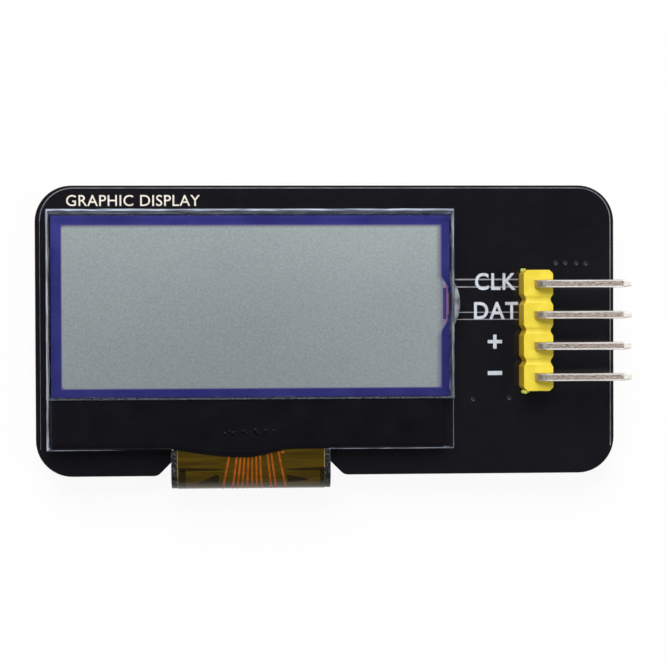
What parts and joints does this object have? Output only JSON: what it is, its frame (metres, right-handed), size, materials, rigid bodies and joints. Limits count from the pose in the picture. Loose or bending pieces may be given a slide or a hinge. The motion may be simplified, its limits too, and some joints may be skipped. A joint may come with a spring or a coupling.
{
  "type": "graphic lcd module",
  "caption": "Small reflective graphic LCD on a black circuit board, with a bare glass panel, an amber flex folded through a notch to the back and a yellow header with bent pins.",
  "frame": {"origin": "under the middle of the outline, on the plane that the header's pin tails stand on", "axes": "+X along the long side of the board, towards the free ends of the pins; +Y up the picture; +Z out of the display"},
  "size_m": [0.0488, 0.0252, 0.0064],
  "materials": {
    "solder_mask": "glossy black solder mask on glass epoxy",
    "foam_tape": "black double-sided foam tape",
    "reflector_film": "grey reflective film",
    "panel_glass": "clear soda-lime glass",
    "seal_epoxy": "blue-violet seen through the polarisers",
    "crystal_fill": "grey-green, evenly clear",
    "polariser_film": "clear grey film, smooth",
    "clear_glue": "cured clear glue",
    "bare_silicon": "polished die back",
    "black_silicone": "satin black silicone",
    "amber_polyimide": "amber film, smooth",
    "copper": "copper under amber film",
    "black_film": "black film, satin",
    "solder": "bright solder",
    "yellow_nylon": "moulded yellow nylon",
    "tinned_brass": "bright tin plate",
    "moulding_epoxy": "fine matt black moulding",
    "tinned_lead": "matt tin plate",
    "chip_ceramic": "tan fired ceramic, tinned ends",
    "resistor_body": "black glaze on white ceramic, tinned ends"
  },
  "bodies": {
    "root": {"circuit_board": "solder_mask", "panel_tape": "foam_tape", "rear_polariser": "reflector_film", "rear_glass": "panel_glass", "cell_seal": "seal_epoxy", "liquid_crystal": "crystal_fill", "front_glass": "panel_glass", "front_polariser": "polariser_film", "end_seal": "clear_glue", "driver_chip": "bare_silicon", "ledge_coating": "black_silicone", "flex_circuit": "amber_polyimide", "flex_traces": "copper", "flex_backing": "black_film", "flex_solder": "solder", "header_body": "yellow_nylon", "header_pin_1": "tinned_brass", "header_pin_2": "tinned_brass", "header_pin_3": "tinned_brass", "header_pin_4": "tinned_brass", "header_solder": "solder", "regulator_body": "moulding_epoxy", "regulator_leads": "tinned_lead", "shifter_1_body": "moulding_epoxy", "shifter_1_leads": "tinned_lead", "shifter_2_body": "moulding_epoxy", "shifter_2_leads": "tinned_lead", "capacitor_1": "chip_ceramic", "capacitor_2": "chip_ceramic", "capacitor_3": "chip_ceramic", "capacitor_4": "chip_ceramic", "capacitor_5": "chip_ceramic", "capacitor_6": "chip_ceramic", "capacitor_7": "chip_ceramic", "capacitor_8": "chip_ceramic", "resistor_1": "resistor_body", "resistor_2": "resistor_body", "resistor_3": "resistor_body", "resistor_4": "resistor_body"}
  },
  "joints": []
}
